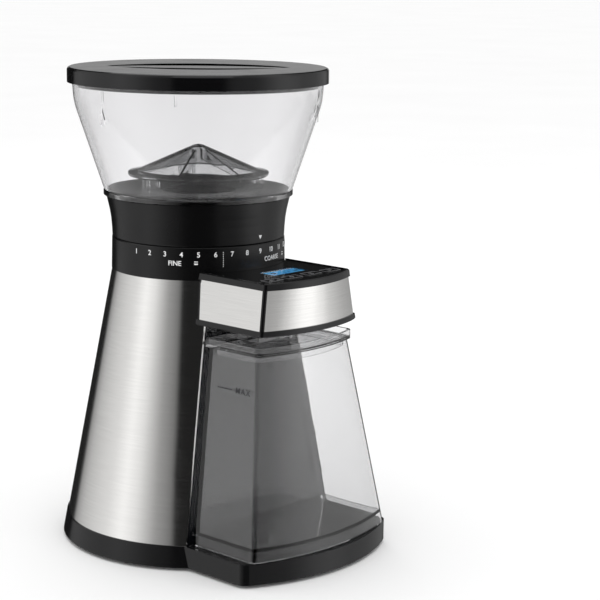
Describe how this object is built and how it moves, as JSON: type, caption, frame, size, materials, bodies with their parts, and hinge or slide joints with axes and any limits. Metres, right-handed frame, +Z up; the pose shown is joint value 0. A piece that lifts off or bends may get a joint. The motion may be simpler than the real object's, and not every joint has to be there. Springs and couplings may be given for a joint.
{
  "type": "burr coffee grinder",
  "caption": "Upright conical burr coffee grinder with bean hopper, rotating grind collar, control head over a clear grounds container, and steel body.",
  "frame": {"origin": "the middle of the grinder's footprint, on the table plane; the burr axis stands 17.9 mm behind it", "axes": "+Z up, parallel to the burr axis, -Y towards the front with the grounds container, +X to the user's right"},
  "size_m": [0.1748, 0.2106, 0.299],
  "materials": {
    "black_gloss": "gloss",
    "black_satin": "satin",
    "brushed_steel": "brushed",
    "clear_hopper": "polished clear plastic",
    "clear_smoke": "polished smoked plastic",
    "rubber": "matt",
    "zinc_steel": "zinc plated",
    "burr_steel": "ground",
    "motor_steel": "plated",
    "nylon": "satin",
    "bearing_bronze": "sintered",
    "circuit_board": "satin",
    "display": "gloss"
  },
  "bodies": {
    "base": {"base_housing": "black_gloss", "bottom_cover": "black_satin", "rubber_feet": "rubber", "bottom_screws": "zinc_steel", "dock_plate": "black_gloss", "main_housing": "black_satin", "steel_shell": "brushed_steel", "front_panel": "black_gloss", "panel_rail": "black_gloss", "dial_ring": "black_gloss", "head_tray": "black_gloss", "head_front_plate": "brushed_steel", "head_side_plate_left": "brushed_steel", "head_side_plate_right": "brushed_steel", "head_frame": "black_gloss", "head_top_cover": "black_gloss", "lcd_window": "display", "lcd_module": "black_satin", "control_board": "circuit_board", "button_switches": "black_satin", "motor_body": "motor_steel", "motor_end_cap": "black_satin", "idler_pin": "zinc_steel", "gearbox_plate": "nylon", "lower_bearing": "bearing_bronze", "upper_bearing": "bearing_bronze", "grind_chamber": "black_satin", "chamber_screws": "zinc_steel", "chute": "black_satin", "power_board": "circuit_board", "safety_switch": "black_satin", "cord_inlet": "rubber"},
    "burr_drive": {"drive_shaft": "zinc_steel", "output_gear": "nylon", "sweeper": "black_satin", "cone_burr": "burr_steel", "burr_nut": "zinc_steel"},
    "idler": {"idler_gear": "nylon"},
    "rotor": {"motor_shaft": "zinc_steel", "motor_pinion": "bearing_bronze"},
    "outer_burr": {"ring_burr": "burr_steel", "burr_carrier": "black_satin"},
    "collar": {"grind_collar": "black_gloss"},
    "hopper_unit": {"hopper": "clear_hopper", "hopper_floor": "black_gloss", "bean_guard": "clear_hopper"},
    "lid": {"hopper_lid": "black_gloss"},
    "container": {"container_jar": "clear_smoke"},
    "container_cover": {"container_lid": "clear_smoke"},
    "button_a": {"button_1": "black_gloss"},
    "button_b": {"button_2": "black_gloss"},
    "button_c": {"button_3": "black_gloss"},
    "button_d": {"button_4": "black_gloss"}
  },
  "joints": [
    {"name": "lid_lift", "type": "slide", "parent": "hopper_unit", "child": "lid", "axis": [0, 0, 1], "range_m": [0, 0.032]},
    {"name": "hopper_lift", "type": "slide", "parent": "collar", "child": "hopper_unit", "axis": [0, 0, 1], "range_m": [0, 0.03]},
    {"name": "grind_adjust", "type": "hinge", "parent": "base", "child": "collar", "pos_m": [0, 0.0179, 0.2038], "axis": [0, 0, 1], "range_deg": [-91.2, 102.6]},
    {"name": "outer_burr_feed", "type": "slide", "parent": "base", "child": "outer_burr", "axis": [0, 0, 1], "range_m": [-0.0007, 0.0007]},
    {"name": "burr_spin", "type": "hinge", "parent": "base", "child": "burr_drive", "pos_m": [0, 0.0179, 0.15], "axis": [0, 0, 1], "continuous": true},
    {"name": "idler_spin", "type": "hinge", "parent": "base", "child": "idler", "pos_m": [0.02598, 0.0329, 0.138], "axis": [0, 0, 1], "continuous": true},
    {"name": "motor_spin", "type": "hinge", "parent": "base", "child": "rotor", "pos_m": [0, 0.0479, 0.13], "axis": [0, 0, 1], "continuous": true},
    {"name": "container_slide", "type": "slide", "parent": "base", "child": "container", "axis": [0, -1, 0], "range_m": [0, 0.11]},
    {"name": "container_lid_lift", "type": "slide", "parent": "container", "child": "container_cover", "axis": [0, 0, 1], "range_m": [0, 0.0049]},
    {"name": "button_press_a", "type": "slide", "parent": "base", "child": "button_a", "axis": [0, 0, -1], "range_m": [0, 0.001], "stiffness_N_per_m": 400},
    {"name": "button_press_b", "type": "slide", "parent": "base", "child": "button_b", "axis": [0, 0, -1], "range_m": [0, 0.001], "stiffness_N_per_m": 400},
    {"name": "button_press_c", "type": "slide", "parent": "base", "child": "button_c", "axis": [0, 0, -1], "range_m": [0, 0.001], "stiffness_N_per_m": 400},
    {"name": "button_press_d", "type": "slide", "parent": "base", "child": "button_d", "axis": [0, 0, -1], "range_m": [0, 0.001], "stiffness_N_per_m": 400}
  ],
  "couplings": [
    {"joint": "idler_spin", "follows": "burr_spin", "ratio": -3},
    {"joint": "motor_spin", "follows": "burr_spin", "ratio": 9},
    {"joint": "outer_burr_feed", "follows": "grind_adjust", "m_per_rad": 0.0003}
  ]
}
